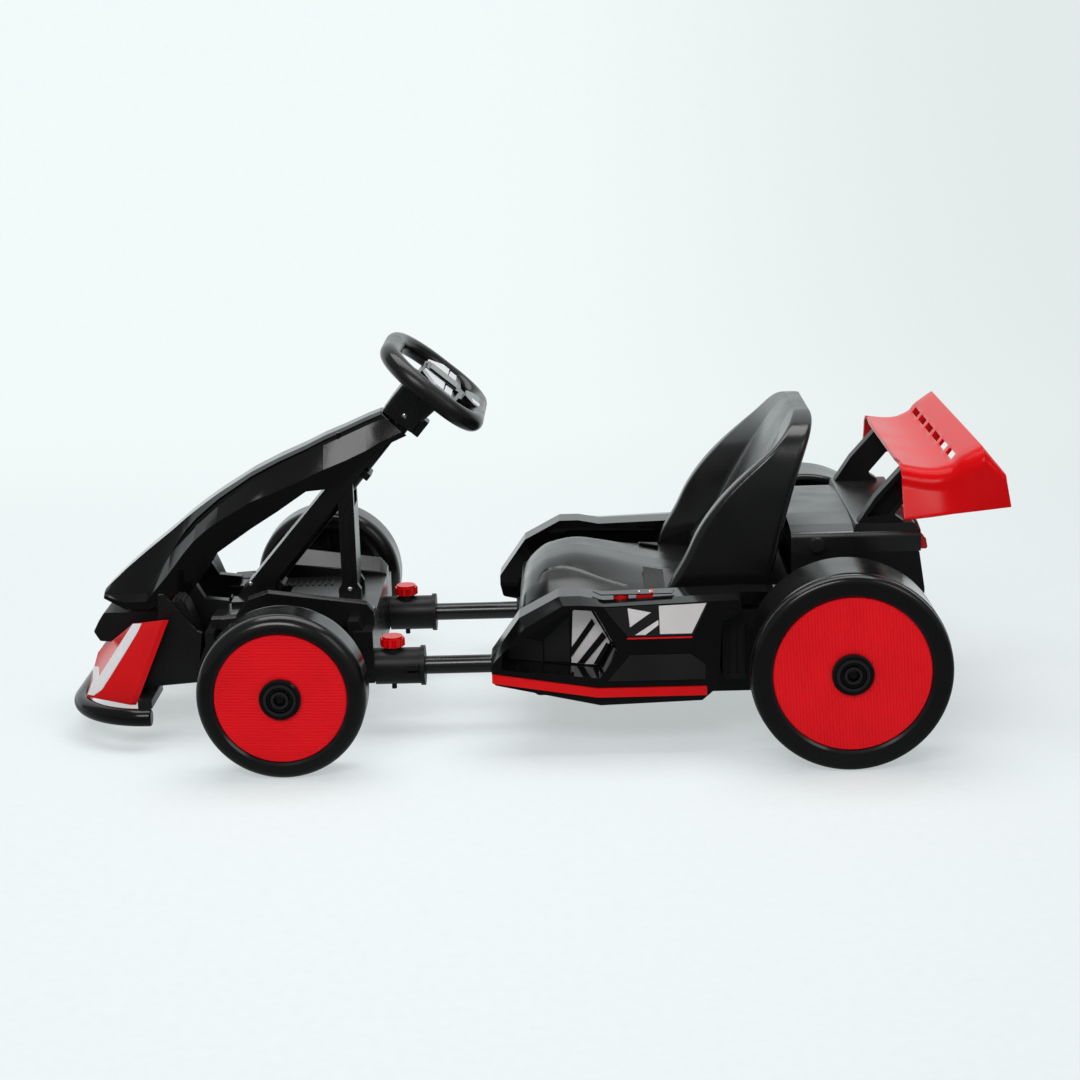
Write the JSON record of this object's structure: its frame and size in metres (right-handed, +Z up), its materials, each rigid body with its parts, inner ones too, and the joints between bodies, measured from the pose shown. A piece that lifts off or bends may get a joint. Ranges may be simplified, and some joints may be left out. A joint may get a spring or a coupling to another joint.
{
  "type": "ride-on drift kart",
  "caption": "Low ride-on electric kart for a child, with covered wheels, a bucket seat, side pods, a wing and a front section that slides on two frame tubes and steers.",
  "frame": {"origin": "on the floor under the middle of the overall length and width", "axes": "+X forward, +Y to the kart's left, +Z up"},
  "size_m": [1.2744, 0.72, 0.5235],
  "materials": {
    "gloss_black": "gloss",
    "lamp": "clear gloss",
    "matte_black": "fine matte texture",
    "red": "gloss",
    "red_disc": "finely lined",
    "steel": "plated",
    "tube": "gloss black paint",
    "tyre": "satin moulded rubber",
    "webbing": "woven"
  },
  "bodies": {
    "rear_section": {"rear_tub": "matte_black", "rear_body": "matte_black", "rear_cover": "gloss_black", "seat": "matte_black", "wing": "red", "rear_axle": "steel", "power_button": "red", "power_rocker": "red", "pod_left": "gloss_black", "pod_right": "gloss_black", "strip_left": "red", "strip_right": "red", "tube_left": "tube", "tube_right": "tube", "gearbox_left": "matte_black", "gearbox_right": "matte_black", "tail_lamp_left": "lamp", "tail_lamp_right": "lamp", "belt_left": "webbing", "belt_right": "webbing", "stanchion_left": "matte_black", "stanchion_right": "matte_black"},
    "front_section": {"front_chassis": "matte_black", "column_brace": "gloss_black", "column_bearing_upper": "matte_black", "column_bearing_lower": "matte_black", "column_post": "gloss_black", "nose_cowl": "gloss_black", "nose_chin": "matte_black", "bumper_bar": "gloss_black", "bumper_fascia": "red", "socket_left": "matte_black", "socket_right": "matte_black", "clamp_knob_left": "red", "clamp_knob_right": "red", "kingpin_left": "steel", "kingpin_right": "steel", "foot_rest_left": "matte_black", "foot_rest_right": "matte_black"},
    "steering": {"steering_column": "tube", "steering_hub": "matte_black", "steering_wheel": "matte_black"},
    "tie_rod": {"tie_rod": "tube"},
    "knuckle_left": {"knuckle_left": "tube"},
    "front_wheel_left": {"front_tyre_left": "tyre", "front_disc_left": "red_disc", "front_cap_left": "gloss_black"},
    "rear_wheel_left": {"rear_tyre_left": "tyre", "rear_disc_left": "red_disc", "rear_cap_left": "gloss_black"},
    "knuckle_right": {"knuckle_right": "tube"},
    "front_wheel_right": {"front_tyre_right": "tyre", "front_disc_right": "red_disc", "front_cap_right": "gloss_black"},
    "rear_wheel_right": {"rear_tyre_right": "tyre", "rear_disc_right": "red_disc", "rear_cap_right": "gloss_black"}
  },
  "joints": [
    {"name": "length_adjust", "type": "slide", "parent": "rear_section", "child": "front_section", "axis": [1, 0, 0], "range_m": [-0.05, 0.06]},
    {"name": "steering_turn", "type": "hinge", "parent": "front_section", "child": "steering", "pos_m": [0.12925, 0, 0.456], "axis": [-0.6428, 0, 0.766], "range_deg": [-50, 50]},
    {"name": "kingpin_left_turn", "type": "hinge", "parent": "front_section", "child": "knuckle_left", "pos_m": [0.31625, 0.24, 0.11], "axis": [0, 0, 1], "range_deg": [-22.6, 22.6]},
    {"name": "kingpin_right_turn", "type": "hinge", "parent": "front_section", "child": "knuckle_right", "pos_m": [0.31625, -0.24, 0.11], "axis": [0, 0, 1], "range_deg": [-22.6, 22.6]},
    {"name": "tie_rod_turn", "type": "hinge", "parent": "knuckle_left", "child": "tie_rod", "pos_m": [0.37625, 0.24, 0.12], "axis": [0, 0, 1], "range_deg": [-22.6, 22.6]},
    {"name": "front_wheel_left_spin", "type": "hinge", "parent": "knuckle_left", "child": "front_wheel_left", "pos_m": [0.31625, 0.3, 0.11], "axis": [0, 1, 0], "continuous": true},
    {"name": "rear_wheel_left_spin", "type": "hinge", "parent": "rear_section", "child": "rear_wheel_left", "pos_m": [-0.41575, 0.3, 0.13], "axis": [0, 1, 0], "continuous": true},
    {"name": "front_wheel_right_spin", "type": "hinge", "parent": "knuckle_right", "child": "front_wheel_right", "pos_m": [0.31625, -0.3, 0.11], "axis": [0, 1, 0], "continuous": true},
    {"name": "rear_wheel_right_spin", "type": "hinge", "parent": "rear_section", "child": "rear_wheel_right", "pos_m": [-0.41575, -0.3, 0.13], "axis": [0, 1, 0], "continuous": true}
  ],
  "couplings": [
    {"joint": "kingpin_left_turn", "follows": "steering_turn", "ratio": 0.45},
    {"joint": "kingpin_right_turn", "follows": "steering_turn", "ratio": 0.45},
    {"joint": "tie_rod_turn", "follows": "steering_turn", "ratio": -0.45}
  ]
}
